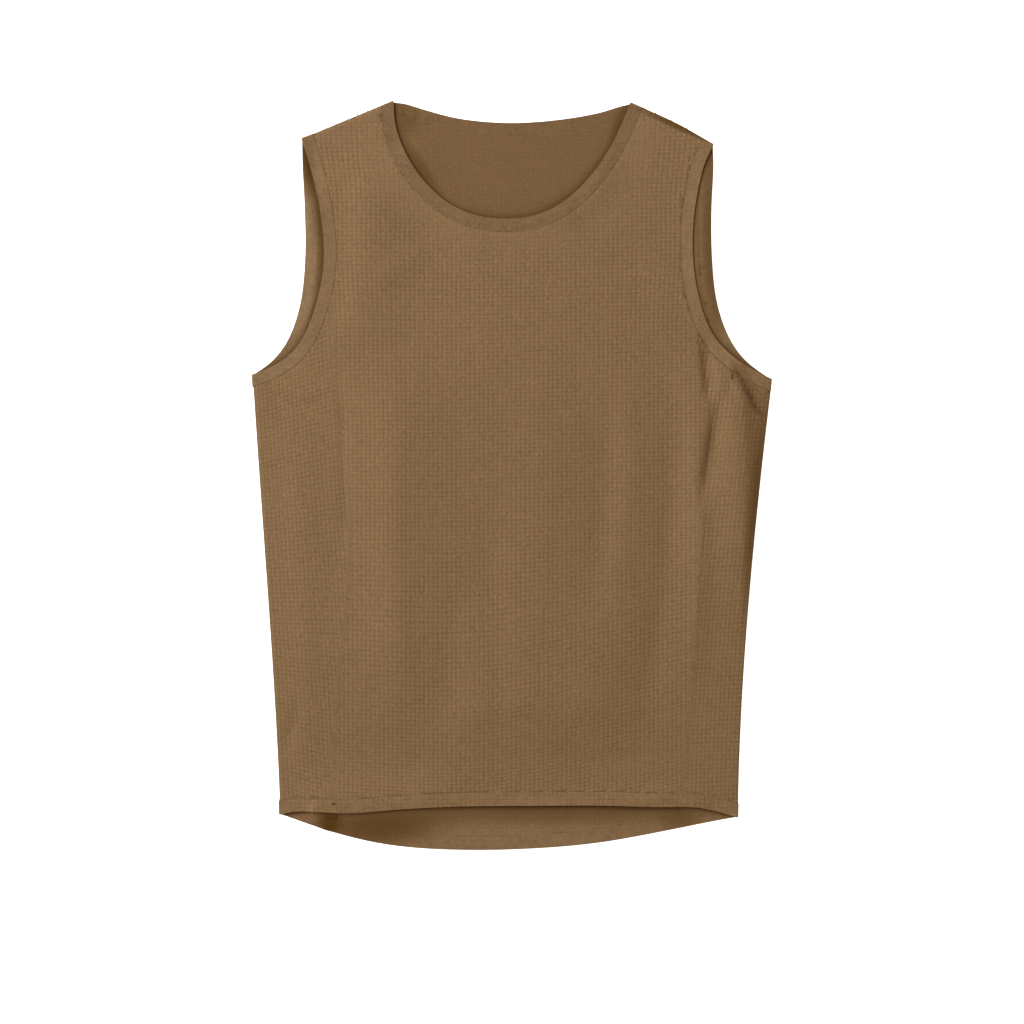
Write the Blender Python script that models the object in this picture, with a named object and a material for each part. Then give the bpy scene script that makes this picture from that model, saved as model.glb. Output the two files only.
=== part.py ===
"""A sleeveless knitted cycling base layer, laid flat on its back with the front uppermost.

The frame is in metres with +Z up. The head end points to +Y and the underside of the back is at
Z = 0. Left and right are those of someone looking down on the front. Every piece is worked out
as the middle surface of its cloth, a grid bent into place, and a Solidify makes the wall. The
front and the back are one layer each; at the shoulders and the sides the cloth turns over.
"""

from collections import namedtuple
from math import cos, exp, pi, sin

import bmesh
import bpy
from mathutils import Vector
from mathutils.geometry import interpolate_bezier

MM = 0.001

# Driving sizes of the cloth, in millimetres.
WALL = 1.2  # thickness of the knit
TURN_RADIUS = 1.4  # of the cloth's middle where it turns over at a fold
SEAM_GAP = 0.3  # between two pieces
WELD = 0.25  # corners of one piece's patches this close are one corner
NECK_BAND_WIDTH = 11.0
ARMHOLE_BAND_WIDTH = 10.5
HEM_BAND_WIDTH = 11.5
MITRE_LENGTH = 22.0  # over which a band's ribs swing round to lie along a fold
BACK_STRIP_WIDTH = 46.0  # of each side panel, round on the underside

BACK_LEVEL = WALL / 2
FRONT_LEVEL = WALL / 2 + 2 * TURN_RADIUS

# Grid divisions. Pieces that meet at a seam share them, so that the gap stays even.
BODY_ROWS = 22  # hem to the top of the side seam
CHEST_ROWS = 5  # from there to the bottom of the neck
STRAP_ROWS = 12  # from there to the shoulder
FRONT_COLUMNS = 14  # middle to side seam
BACK_COLUMNS = 7
SIDE_COLUMNS = {"front": 5, "back": 4}  # side fold to seam
TURN_STEPS = 5
BAND_COLUMNS = 2
CURVE_STEPS = 24  # straight steps between two points of an outline

# The outline, in millimetres from its middle. A point is (x, y).
NECK_POINTS = {
    "left": (-99.5, 315.4),
    "right": (100.0, 314.0),
}
SHOULDER_MIDDLE = {
    "left": (-138.0, 299.5),
    "right": (138.5, 296.6),
}
SHOULDER_TIPS = {
    "left": (-177.0, 283.2),
    "right": (170.1, 278.4),
}
UNDERARMS = {
    "left": (-218.0, 85.6),
    "right": (218.4, 82.2),
}
HEM_CORNERS = {
    "left": (-194.8, -286.5),
    "right": (189.8, -288.8),
}
NECK_FRONT = (
    (-98.9, 298.0),
    (-90.5, 274.0),
    (-75.6, 250.4),
    (-52.0, 228.9),
    (-26.0, 218.3),
    (-2.0, 216.6),
    (22.0, 219.9),
    (46.0, 232.2),
    (67.0, 252.9),
    (82.5, 275.5),
    (93.5, 298.0),
)
NECK_BACK = (
    (-92.0, 315.2),
    (-77.0, 310.4),
    (-43.5, 301.8),
    (-1.0, 298.3),
    (41.0, 301.1),
    (74.7, 306.9),
    (92.0, 312.4),
)
HEM_FRONT = (
    (-183.0, -283.6),
    (-160.0, -284.2),
    (-136.0, -285.2),
    (-94.0, -281.6),
    (-45.0, -279.4),
    (20.0, -278.8),
    (83.0, -278.6),
    (116.0, -279.8),
    (152.0, -279.9),
    (173.0, -283.4),
)
HEM_BACK = (
    (-170.0, -295.2),
    (-136.0, -305.9),
    (-94.0, -313.8),
    (-35.0, -316.7),
    (24.0, -315.1),
    (75.0, -310.4),
    (125.0, -301.5),
    (168.0, -292.8),
)

# The edges of the two armholes at a few levels between the shoulder tip and the underarm.
ArmholeLevel = namedtuple("ArmholeLevel", "y left_front left_back right_front right_back")
ARMHOLE_LEVELS = (
    ArmholeLevel(262, -170.3, -176.6, 162.4, 170.7),
    ArmholeLevel(222, -161.2, -174.4, 154.4, 168.9),
    ArmholeLevel(182, -158.3, -174.5, 153.3, 169.6),
    ArmholeLevel(146, -164.2, -178.2, 159.3, 173.5),
    ArmholeLevel(117, -174.8, -187.6, 170.8, 183.7),
    ArmholeLevel(97, -192.0, -201.8, 190.9, 198.0),
)

# The side folds and the front seams of the side panels at a few levels down the body.
SideLevel = namedtuple("SideLevel", "y left_fold left_seam right_fold right_seam")
SIDE_LEVELS = (
    SideLevel(45, -215.2, -143.6, 214.9, 165.1),
    SideLevel(-25, -210.4, -137.4, 207.4, 161.1),
    SideLevel(-95, -205.3, -137.4, 200.0, 156.7),
    SideLevel(-165, -200.8, -145.2, 195.4, 152.9),
    SideLevel(-235, -196.5, -150.0, 191.7, 148.2),
)

# Where a seam or a patch line meets an edge, as a share of the edge's length from its start.
Meeting = namedtuple("Meeting", "armhole hem")
SEAM_MEETS = {
    ("front", "left"): Meeting(0.600, 0.117),
    ("front", "right"): Meeting(0.655, 0.885),
    ("back", "left"): Meeting(0.770, 0.118),
    ("back", "right"): Meeting(0.775, 0.880),
}
NECK_LEVEL_MEETS = {"left": 0.44, "right": 0.43}
CHEST_LEVEL = 0.83  # share of the front's middle line, hem to neck

# The largest folds of the front: a ridge where height is above 0, a trough below. Each runs
# from its top to its low end and fades out at both.
Fold = namedtuple("Fold", "name top_x top_y low_x low_y half_width height")
FRONT_FOLDS = (
    Fold("left flank ridge", -92, 150, -88, -262, 26, 1.7),
    Fold("left seam trough", -152, 128, -140, -150, 11, -0.8),
    Fold("left side swell", -180, 70, -170, -270, 16, 0.8),
    Fold("middle ridge", 33, 112, 22, -170, 22, 1.3),
    Fold("middle trough", -18, 60, -26, -262, 24, -0.8),
    Fold("right chest ridge", 103, 120, 90, -200, 16, 1.3),
    Fold("right seam ridge", 155, 112, 150, -150, 11, 1.9),
    Fold("right seam trough", 171, 100, 164, -30, 8, -1.1),
    Fold("right side ridge", 187, 84, 190, -90, 9, 1.2),
    Fold("belly swell", -100, -195, 105, -195, 42, 0.9),
    Fold("neck roll", -60, 228, 60, 232, 20, 1.1),
    Fold("left armhole roll", -162, 268, -168, 120, 13, 0.7),
    Fold("right armhole roll", 157, 268, 166, 112, 13, 0.9),
    Fold("hem lift", -120, -282, 130, -280, 15, 0.9),
)
FOLD_FADE = 0.3  # share of a fold's length over which each end fades out

KNIT = (0.231, 0.141, 0.070)
KNIT_INSIDE = (0.196, 0.119, 0.056)
BAND = (0.246, 0.153, 0.078)


def smooth_step(share):
    share = min(max(share, 0.0), 1.0)
    return share * share * (3 - 2 * share)


def across(direction):
    """The direction turned a quarter to the left, in the plane of the garment."""
    return Vector((-direction.y, direction.x, 0)).normalized()


class Line:
    """A smooth line through a few points given in millimetres, read by its length."""

    def __init__(self, points):
        knots = [Vector((x, y, 0)) * MM for x, y in points]
        self.points = [knots[0]]
        for index in range(len(knots) - 1):
            start, end = knots[index], knots[index + 1]
            before = knots[max(index - 1, 0)]
            after = knots[min(index + 2, len(knots) - 1)]
            span = (end - start).length
            leave = (end - before) * span / (span + (start - before).length) / 3
            arrive = (after - start) * span / (span + (after - end).length) / 3
            self.points += interpolate_bezier(start, start + leave, end - arrive, end, CURVE_STEPS + 1)[1:]
        self.reached = [0.0]
        for start, end in zip(self.points, self.points[1:]):
            self.reached.append(self.reached[-1] + (end - start).length)
        self.length = self.reached[-1]

    def at(self, distance):
        distance = min(max(distance, 0.0), self.length)
        index = 1
        while self.reached[index] < distance:
            index += 1
        start, end = self.reached[index - 1], self.reached[index]
        return self.points[index - 1].lerp(self.points[index], (distance - start) / (end - start))

    def heading(self, distance):
        step = 2 * MM
        return (self.at(distance + step) - self.at(distance - step)).normalized()

    def beside(self, distance, shift):
        """The point that lies shift to the left of the line."""
        return self.at(distance) + across(self.heading(distance)) * shift


class Edge:
    """An open edge from one fold to another. Its ribs run in across the band, and swing round
    to lie along the fold at each end, so that the front and the back meet there."""

    def __init__(self, points, inward, start_fold, end_fold):
        self.line = Line(points)
        self.inward = inward
        self.start_fold = start_fold
        self.end_fold = end_fold

    def rib(self, share, depth):
        distance = share * self.line.length
        straight = across(self.line.heading(distance)) * self.inward * depth
        mitre = MITRE_LENGTH * MM
        near_start = smooth_step(1 - distance / mitre)
        near_end = smooth_step(1 - (self.line.length - distance) / mitre)
        turned = straight * (1 - near_start - near_end)
        turned += (self.start_fold(depth) - self.start_fold(0)) * near_start
        turned += (self.end_fold(depth) - self.end_fold(0)) * near_end
        return self.line.at(distance) + turned

    def inset(self, start, end, depth):
        """A boundary for a patch: from one share of the edge to another, depth inside it."""
        return lambda share: self.rib(start + (end - start) * share, depth)


def front_height(place):
    """How high the middle of the front's cloth lies, in metres."""
    height = FRONT_LEVEL
    for fold in FRONT_FOLDS:
        top = Vector((fold.top_x, fold.top_y, 0)) * MM
        run = Vector((fold.low_x, fold.low_y, 0)) * MM - top
        offset = place - top
        share = offset.dot(run) / run.length_squared
        fade = smooth_step(share / FOLD_FADE) * smooth_step((1 - share) / FOLD_FADE)
        distance = across(run).dot(offset) / MM
        height += fold.height * fade * exp(-((distance / fold.half_width) ** 2))
    return height * MM


def on_front(place):
    return Vector((place.x, place.y, front_height(place)))


def on_back(place):
    return Vector((place.x, place.y, BACK_LEVEL * MM))


def turned_over(fold, distance, share, outward):
    """A point of the cloth that turns over a fold: share 0 is on the front and 1 on the back."""
    place = fold.at(distance)
    top = front_height(place)
    low = BACK_LEVEL * MM
    angle = pi * share
    side = across(fold.heading(distance)) * outward * TURN_RADIUS * MM * sin(angle)
    return Vector((place.x, place.y, (top + low) / 2 + (top - low) / 2 * cos(angle))) + side


def patch(bottom, top, inner, outer, layer):
    """A four-sided patch between boundary lines. The inner and outer ones hold exactly."""

    def place(u, v):
        middle = bottom(u).lerp(top(u), v)
        inner_miss = inner(v) - bottom(0).lerp(top(0), v)
        outer_miss = outer(v) - bottom(1).lerp(top(1), v)
        return layer(middle + inner_miss * (1 - u) + outer_miss * u)

    return place


def straight(start, end):
    return lambda share: start.lerp(end, share)


def levels_of(rows, column):
    return [(getattr(row, column), row.y) for row in rows]


# The fold lines, and the open edges between them.
shoulders = {
    side: Line((NECK_POINTS[side], SHOULDER_MIDDLE[side], SHOULDER_TIPS[side]))
    for side in ("left", "right")
}
side_folds = {
    side: Line([UNDERARMS[side], *levels_of(SIDE_LEVELS, side + "_fold"), HEM_CORNERS[side]])
    for side in ("left", "right")
}
# Which way is out of the garment, or into it, from a line that runs down the left or the right.
OUTWARD = {"left": -1, "right": 1}


def from_neck(side):
    return lambda depth: shoulders[side].at(depth)


def from_tip(side):
    return lambda depth: shoulders[side].at(shoulders[side].length - depth)


def from_underarm(side):
    return lambda depth: side_folds[side].at(depth)


def from_hem(side):
    return lambda depth: side_folds[side].at(side_folds[side].length - depth)


def neck_edge(points):
    ends = [NECK_POINTS["left"], *points, NECK_POINTS["right"]]
    return Edge(ends, -1, from_neck("left"), from_neck("right"))


def hem_edge(points):
    ends = [HEM_CORNERS["left"], *points, HEM_CORNERS["right"]]
    return Edge(ends, 1, from_hem("left"), from_hem("right"))


def armhole_edge(side, layer):
    points = levels_of(ARMHOLE_LEVELS, f"{side}_{layer}")
    ends = [SHOULDER_TIPS[side], *points, UNDERARMS[side]]
    return Edge(ends, -OUTWARD[side], from_tip(side), from_underarm(side))


LAYERS = {
    "front": {"neck": neck_edge(NECK_FRONT), "hem": hem_edge(HEM_FRONT), "height": on_front},
    "back": {"neck": neck_edge(NECK_BACK), "hem": hem_edge(HEM_BACK), "height": on_back},
}
for layer_name, layer in LAYERS.items():
    for side in ("left", "right"):
        layer[side] = armhole_edge(side, layer_name)

NECK_DEPTH = (NECK_BAND_WIDTH + SEAM_GAP) * MM
ARMHOLE_DEPTH = (ARMHOLE_BAND_WIDTH + SEAM_GAP) * MM
HEM_DEPTH = (HEM_BAND_WIDTH + SEAM_GAP) * MM


def seam_line(layer_name, side):
    """A side panel's seam, from the armhole band down to the hem band."""
    layer = LAYERS[layer_name]
    meets = SEAM_MEETS[layer_name, side]
    if layer_name == "front":
        points = levels_of(SIDE_LEVELS, side + "_seam")
    else:
        shift = -OUTWARD[side] * BACK_STRIP_WIDTH
        points = [(x + shift, y) for x, y in levels_of(SIDE_LEVELS, side + "_fold")]
    top = layer[side].rib(meets.armhole, ARMHOLE_DEPTH) / MM
    low = layer["hem"].rib(meets.hem, HEM_DEPTH) / MM
    return Line([top.xy, *points, low.xy])


seams = {
    (layer_name, side): seam_line(layer_name, side)
    for layer_name in LAYERS
    for side in ("left", "right")
}


def up_the_seam(layer_name, side, direction):
    """A boundary up a seam, half the gap to the side that direction gives."""
    seam = seams[layer_name, side]
    shift = direction * SEAM_GAP / 2 * MM
    return lambda share: seam.beside(seam.length * (1 - share), shift)


def half_panel(layer_name, side, columns, shoulder_gap):
    """The three patches of one half of the front or the back, from the hem up to the shoulder."""
    layer = LAYERS[layer_name]
    neck, hem, armhole, height = layer["neck"], layer["hem"], layer[side], layer["height"]
    neck_end = 0 if side == "left" else 1
    meets, neck_level = SEAM_MEETS[layer_name, side], NECK_LEVEL_MEETS[side]
    hem_middle = hem.rib(0.5, HEM_DEPTH)
    neck_middle = neck.rib(0.5, NECK_DEPTH)
    chest_middle = hem_middle.lerp(neck_middle, CHEST_LEVEL)
    seam = up_the_seam(layer_name, side, -OUTWARD[side])
    chest = straight(chest_middle, seam(1))
    throat = straight(neck_middle, armhole.rib(neck_level, ARMHOLE_DEPTH))
    fold = shoulders[side]
    clear_of_fold = across(fold.heading(fold.length / 2)) * -OUTWARD[side] * shoulder_gap * MM

    def shoulder(share):
        run = fold.length - NECK_DEPTH - ARMHOLE_DEPTH
        return fold.at(NECK_DEPTH + run * share) + clear_of_fold

    def lowered(boundary):
        return lambda share: boundary(share) + clear_of_fold * smooth_step(share)

    return [
        (columns, BODY_ROWS, patch(
            hem.inset(0.5, meets.hem, HEM_DEPTH), chest,
            straight(hem_middle, chest_middle), seam, height,
        )),
        (columns, CHEST_ROWS, patch(
            chest, throat, straight(chest_middle, neck_middle),
            armhole.inset(meets.armhole, neck_level, ARMHOLE_DEPTH), height,
        )),
        (columns, STRAP_ROWS, patch(
            throat, shoulder, lowered(neck.inset(0.5, neck_end, NECK_DEPTH)),
            lowered(armhole.inset(neck_level, 0, ARMHOLE_DEPTH)), height,
        )),
    ]


def turn_patch(fold, start, end, outward):
    """The cloth that goes over a fold, between two distances along it."""
    return lambda u, v: turned_over(fold, start + (end - start) * u, v, outward)


def front_panel_patches():
    """Both halves of the front, and the cloth that goes over each shoulder."""
    patches = []
    for side in ("left", "right"):
        fold = shoulders[side]
        patches += half_panel("front", side, FRONT_COLUMNS, shoulder_gap=0)
        over = turn_patch(fold, NECK_DEPTH, fold.length - ARMHOLE_DEPTH, OUTWARD[side])
        patches.append((FRONT_COLUMNS, TURN_STEPS, over))
    return patches


def back_panel_patches():
    patches = []
    for side in ("left", "right"):
        patches += half_panel("back", side, BACK_COLUMNS, shoulder_gap=SEAM_GAP)
    return patches


def side_panel_patches(side):
    """The strip on the front, the one on the underside, and the turn over the side fold."""
    fold = side_folds[side]
    fold_start, fold_end = ARMHOLE_DEPTH, fold.length - HEM_DEPTH
    hem_end = 0 if side == "left" else 1
    patches = []
    for layer_name, columns in SIDE_COLUMNS.items():
        layer = LAYERS[layer_name]
        meets = SEAM_MEETS[layer_name, side]
        patches.append((columns, BODY_ROWS, patch(
            layer["hem"].inset(hem_end, meets.hem, HEM_DEPTH),
            layer[side].inset(1, meets.armhole, ARMHOLE_DEPTH),
            lambda share: fold.at(fold_end + (fold_start - fold_end) * share),
            up_the_seam(layer_name, side, OUTWARD[side]), layer["height"],
        )))
    over = turn_patch(fold, fold_end, fold_start, OUTWARD[side])
    patches.append((BODY_ROWS, TURN_STEPS, over))
    return patches


def band_stretch(edge, start, end, ribs, width, height):
    """A stretch of a band that lies flat along an open edge."""
    return BAND_COLUMNS, ribs, lambda u, v: height(edge.rib(start + (end - start) * v, width * MM * u))


def band_turn(fold, reading, width, outward):
    """A band going over a fold; reading gives the distance along the fold from a depth."""
    return BAND_COLUMNS, TURN_STEPS, lambda u, v: turned_over(fold, reading(width * MM * u), v, outward)


def neck_band_patches():
    patches = []
    for layer in LAYERS.values():
        for end in (0, 1):
            patches.append(band_stretch(
                layer["neck"], 0.5, end, STRAP_ROWS, NECK_BAND_WIDTH, layer["height"]
            ))
    for side in ("left", "right"):
        patches.append(band_turn(
            shoulders[side], lambda depth: depth, NECK_BAND_WIDTH, OUTWARD[side]
        ))
    return patches


def armhole_band_patches(side):
    patches = []
    neck_level = NECK_LEVEL_MEETS[side]
    for layer_name, layer in LAYERS.items():
        seam_top = SEAM_MEETS[layer_name, side].armhole
        stretches = (
            (0, neck_level, STRAP_ROWS),
            (neck_level, seam_top, CHEST_ROWS),
            (seam_top, 1, SIDE_COLUMNS[layer_name]),
        )
        for start, end, ribs in stretches:
            patches.append(band_stretch(
                layer[side], start, end, ribs, ARMHOLE_BAND_WIDTH, layer["height"]
            ))
    shoulder = shoulders[side]
    patches.append(band_turn(
        shoulder, lambda depth: shoulder.length - depth, ARMHOLE_BAND_WIDTH, OUTWARD[side]
    ))
    patches.append(band_turn(
        side_folds[side], lambda depth: depth, ARMHOLE_BAND_WIDTH, OUTWARD[side]
    ))
    return patches


def hem_band_patches():
    patches = []
    panel_columns = {"front": FRONT_COLUMNS, "back": BACK_COLUMNS}
    for layer_name, layer in LAYERS.items():
        for side, corner in (("left", 0), ("right", 1)):
            seam_low = SEAM_MEETS[layer_name, side].hem
            stretches = (
                (0.5, seam_low, panel_columns[layer_name]),
                (seam_low, corner, SIDE_COLUMNS[layer_name]),
            )
            for start, end, ribs in stretches:
                patches.append(band_stretch(
                    layer["hem"], start, end, ribs, HEM_BAND_WIDTH, layer["height"]
                ))
    for side, fold in side_folds.items():
        patches.append(band_turn(
            fold, lambda depth, fold=fold: fold.length - depth, HEM_BAND_WIDTH, OUTWARD[side]
        ))
    return patches


def cloth_material(name, colour):
    material = bpy.data.materials.new(name)
    material.use_nodes = True
    shader = material.node_tree.nodes["Principled BSDF"]
    shader.inputs["Base Color"].default_value = (*colour, 1)
    shader.inputs["Roughness"].default_value = 0.85
    shader.inputs["Metallic"].default_value = 0
    shader.inputs["Sheen Weight"].default_value = 0.2
    return material


def cloth_piece(name, patches, colour):
    """One cut piece: its patches welded into one sheet, then thickened into a wall."""
    shape = bmesh.new()
    for columns, rows, place in patches:
        made = bmesh.ops.create_grid(shape, x_segments=columns, y_segments=rows, size=0.5)
        for corner in made["verts"]:
            corner.co = place(corner.co.x + 0.5, corner.co.y + 0.5)
    bmesh.ops.remove_doubles(shape, verts=shape.verts, dist=WELD * MM)
    bmesh.ops.recalc_face_normals(shape, faces=shape.faces)
    mesh = bpy.data.meshes.new(name)
    shape.to_mesh(mesh)
    shape.free()
    mesh.materials.append(cloth_material(name + " cloth", colour))
    mesh.shade_smooth()
    piece = bpy.data.objects.new(name, mesh)
    bpy.context.scene.collection.objects.link(piece)
    wall = piece.modifiers.new("cloth wall", "SOLIDIFY")
    wall.thickness = WALL * MM
    wall.offset = 0
    wall.use_even_offset = True
    wall.use_rim = True
    return piece


def clear_scene():
    for thing in list(bpy.data.objects):
        bpy.data.objects.remove(thing)


def main():
    clear_scene()
    cloth_piece("front_panel", front_panel_patches(), KNIT)
    cloth_piece("back_panel", back_panel_patches(), KNIT_INSIDE)
    cloth_piece("neck_band", neck_band_patches(), BAND)
    cloth_piece("hem_band", hem_band_patches(), BAND)
    for side in ("left", "right"):
        cloth_piece("side_panel_" + side, side_panel_patches(side), KNIT)
        cloth_piece("armhole_band_" + side, armhole_band_patches(side), BAND)


main()
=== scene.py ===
from math import pi, radians

import bmesh
import bpy
import numpy as np
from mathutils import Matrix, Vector
from mathutils.bvhtree import BVHTree
from mathutils.noise import noise


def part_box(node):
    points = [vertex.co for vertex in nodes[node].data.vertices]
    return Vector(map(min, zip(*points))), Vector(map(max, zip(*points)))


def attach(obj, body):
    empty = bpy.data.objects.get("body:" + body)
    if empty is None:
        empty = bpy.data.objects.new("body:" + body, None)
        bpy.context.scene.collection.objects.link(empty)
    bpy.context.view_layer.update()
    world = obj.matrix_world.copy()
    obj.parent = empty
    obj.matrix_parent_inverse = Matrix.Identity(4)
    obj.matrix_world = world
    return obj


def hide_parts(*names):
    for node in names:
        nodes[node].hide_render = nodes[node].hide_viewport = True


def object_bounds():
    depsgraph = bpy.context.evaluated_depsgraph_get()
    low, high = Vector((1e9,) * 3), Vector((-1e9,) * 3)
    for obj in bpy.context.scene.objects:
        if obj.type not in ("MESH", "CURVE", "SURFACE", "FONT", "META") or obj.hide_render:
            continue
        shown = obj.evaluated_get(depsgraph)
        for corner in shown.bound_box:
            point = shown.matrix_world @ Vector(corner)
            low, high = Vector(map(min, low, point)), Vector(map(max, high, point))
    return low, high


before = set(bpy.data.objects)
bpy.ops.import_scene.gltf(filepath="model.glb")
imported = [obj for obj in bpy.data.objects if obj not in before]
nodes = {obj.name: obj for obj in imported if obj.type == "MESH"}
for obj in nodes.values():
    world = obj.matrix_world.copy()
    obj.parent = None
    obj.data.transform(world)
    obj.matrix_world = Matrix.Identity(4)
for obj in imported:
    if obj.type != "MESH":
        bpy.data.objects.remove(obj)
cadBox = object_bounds()

# A sleeveless knitted base layer that lies on its back. Looking down on it, +X is right and +Y is
# the head end. Every piece is cut from its solid's outline, laid at its level, and given a wall.
mm = 0.001
down = Vector((0, 0, -1))

cloth = {
    "wall": 0.8 * mm,  # of the knit
    "bandOuter": 0.54 * mm,  # from the middle of the cloth to a band's outer face
    "bandInner": 0.42 * mm,
    "turnRadius": 1.4 * mm,  # of the middle of the cloth where it goes over a side or a shoulder
    "cellHeight": 0.1 * mm,  # of a knit cell above the lines between the cells
    "lineHalf": 0.48 * mm,  # half the width of such a line
    "cellReach": 3.1 * mm,  # from the middle of a cell to past its corners
    "frontLow": 1.6 * mm,  # lowest the front's cloth goes, where it lies on the back
    "tuckUnder": 1.5 * mm,  # how far a panel goes in under the bands and seam strips
    "sharp": radians(60),  # a solid's wall turns by more than this at its cut edges
    "corner": radians(35),  # and a panel's outline by more than this at its corners
    "merge": 0.02 * mm,  # points of a solid this close are one
    "cutSnap": 0.04 * mm,  # a cut runs through points this close to it
    "cutMerge": 0.08 * mm,  # and the points it makes are joined over this
    "shortEdge": 0.05 * mm,
}
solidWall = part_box("back_panel")[1].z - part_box("back_panel")[0].z
solidBack = solidWall / 2  # level of the middle of the back's cloth
turnMiddle = solidBack + cloth["turnRadius"]
backRest = cloth["bandOuter"]  # the bands of the back rest on the surface

# Folds as soft ridges, or troughs where the height is below 0, all in millimetres: the points that
# a fold runs through, its half width on its left and on its right as it runs, and its height.
frontCreases = {
    "leftRise": (((-96, 215), (-90, 40), (-91, -110), (-87, -262)), 130, 72, 5.3),
    "leftStep": (((-104, 150), (-100, 20), (-99, -120), (-97, -240)), 16, 24, 1.0),
    "leftSeam": (((-147, 112), (-141, 0), (-143, -70)), 5, 4, -0.9),
    "leftSide": (((-181, 66), (-177, -90), (-168, -262)), 13, 16, 0.9),
    "leftCorner": (((-176, -180), (-186, -215), (-194, -246)), 5, 6, -0.9),
    "middle": (((-8, 10), (-16, -90), (-12, -180), (-20, -250)), 11, 15, -0.9),
    "rightStep": (((76, 74), (79, -20), (70, -120)), 13, 15, -1.3),
    "rightTrough": (((138, 88), (136, -20), (125, -130), (104, -254)), 12, 13, -1.5),
    "rightSeam": (((157, 98), (159, -20), (158, -105), (150, -200)), 9, 8, 1.6),
    "rightSlit": (((164.5, 120), (165, 90), (168, 60)), 4.5, 4.5, -2.7),
    "rightSlitLow": (((174, 72), (172, 40), (165, 4), (159, -36)), 6.5, 5, -2.6),
    "rightSide": (
        ((182, 126), (192, 82), (195, 34), (195.5, -20), (193, -90), (186, -200)), 10, 34, 7.2,
    ),
    "rightWedge": (((187, 101), (195, 80), (206, 61), (224, 40)), 9, 3.2, -4.8),
    "belly": (((-66, -186), (20, -194), (132, -180)), 80, 44, 3.8),
    "neckLeft": (((-94, 300), (-80, 255), (-50, 225), (4, 212)), 16, 22, -0.5),
    "neckLow": (((-60, 226), (-3, 214), (60, 230)), 16, 15, 1.2),
    "neckRight": (((20, 216), (64, 237), (90, 285)), 15, 15, 2.2),
    "neckCorner": (((-101, 330), (-96, 300), (-88, 268)), 9, 14, -0.9),
    "leftArmEdge": (((-124, 300), (-122, 215), (-131, 140), (-158, 84)), 34, 20, 4.2),
    "rightArmEdge": (((166, 300), (157, 240), (154, 190), (166, 135), (206, 92)), 10, 12, -2.2),
    "hemEdge": (((-200, -282), (-110, -283), (0, -281)), 16, 14, -0.9),
    "hemRight": (((60, -276), (110, -277), (160, -280)), 13, 13, 1.3),
    "chestLeft": (((-118, 150), (-96, 176), (-70, 186)), 9, 10, 0.5),
    "chestRight": (((72, 190), (104, 172), (128, 140)), 9, 12, -0.5),
    "armLeftTuck": (((-196, 84), (-181, 70), (-163, 66)), 5, 5, 0.7),
    "armLeftSmall": (((-205, 70), (-196, 56), (-190, 36)), 4, 5, -0.6),
    "armRightTuck": (((186, 88), (184, 76), (183, 60)), 2.5, 3, -0.6),
    "armRightSmall": (((177, 96), (175, 82), (176, 64)), 3, 3, 0.6),
    "lowLeft": (((-120, -216), (-96, -236), (-60, -246)), 7, 8, -0.5),
    "lowRight": (((40, -226), (76, -240), (120, -236)), 8, 8, -0.6),
}
backCreases = {
    "shoulderBlades": (((-70, 190), (0, 199), (75, 194)), 12, 14, 0.5),
    "leftSmall": (((-96, 60), (-101, -60), (-84, -190)), 10, 14, 0.6),
    "rightSmall": (((88, 110), (95, -10), (70, -150)), 12, 9, 0.5),
    "lowBack": (((-60, -205), (20, -190), (96, -196)), 14, 12, 0.5),
    "neckTick": (((-97, 312), (-92, 303), (-90, 294)), 2.5, 3, 0.9),
    "neckTickTwo": (((-87, 309), (-83, 301), (-82, 293)), 2.2, 3, 0.7),
    "neckTickThree": (((-76, 305), (-73, 299), (-73, 292)), 2.2, 3, 0.5),
    "neckSlant": (((-88, 286), (-70, 268), (-40, 255)), 8, 7, 0.5),
    "neckInside": (((-93, 290), (-82, 254), (-52, 222), (10, 207)), 15, 14, 1.6),
    "armInsideTop": (((-176, 340), (-177, 270), (-172, 226), (-168, 190)), 7, 5, 2.6),
    "armInsideLeft": (((-168, 262), (-165, 215), (-164, 170), (-172, 130), (-190, 104)), 14, 9, 3),
    "armInsideRight": (((163, 330), (160, 250), (158, 190), (164, 140), (180, 108)), 10, 14, 3.0),
    "hemPocket": (((-190, -272), (-120, -277), (-20, -273)), 18, 18, 3.4),
    "hemCorner": (((-173, -276), (-163, -290), (-150, -304)), 7, 3, 2.2),
    "hemLip": (((-90, -309), (-30, -315), (60, -315), (130, -308)), 9, 6, 0.8),
    "hemMiddle": (((-20, -280), (50, -284), (110, -276)), 12, 12, 0.6),
    "hemRight": (((96, -268), (140, -270), (178, -272)), 10, 9, 1.0),
}
creaseRun = {
    "steps": 6,  # straight steps for each point that a fold runs through
    "reach": 2.6,  # half widths from its path at which a fold is gone
    "fade": 0.3,  # share of its length over which each end fades out
}
ripples = ((0.17 * mm, 27 * mm), (0.06 * mm, 9 * mm))  # height and size
rippleSlice = 3.5  # the level at which their noise is cut


def smooth(share):
    share = np.clip(share, 0, 1)
    return share * share * (3 - 2 * share)


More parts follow.
